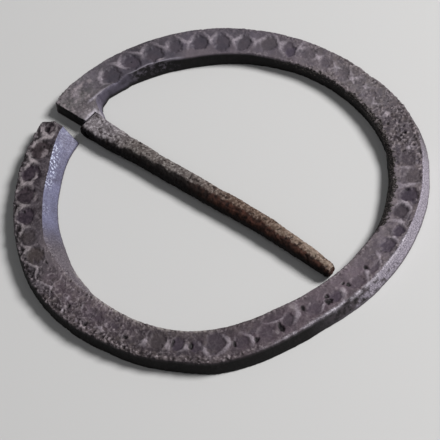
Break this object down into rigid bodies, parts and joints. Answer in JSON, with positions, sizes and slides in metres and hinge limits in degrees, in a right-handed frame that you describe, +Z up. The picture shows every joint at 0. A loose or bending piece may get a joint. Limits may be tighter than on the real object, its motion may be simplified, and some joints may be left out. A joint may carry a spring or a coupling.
{
  "type": "annular brooch",
  "caption": "Flat annular brooch of copper alloy, broken beside its hinge, with a row of round punched cells on the band and a stout pin whose eye turns on the broken neck.",
  "frame": {"origin": "under the middle of the whole brooch's bounding box, on the plane its underside lies on", "axes": "+X along the pin from the hinge to the tip, +Y across the ring towards the arm that carries the hinge, +Z up out of the decorated face"},
  "size_m": [0.0606, 0.0602, 0.0026],
  "materials": {
    "ring_metal": "dark lavender-grey patina, worn and pitted, semi-matt",
    "pin_metal": "pale crust over a rust-brown patina, matt"
  },
  "bodies": {
    "ring": {"ring": "ring_metal"},
    "pin": {"pin": "pin_metal"}
  },
  "joints": [
    {"name": "pin_hinge", "type": "hinge", "parent": "ring", "child": "pin", "pos_m": [-0.02205, 0.00033, 0.00135], "axis": [0, -1, 0], "range_deg": [0, 95]}
  ]
}
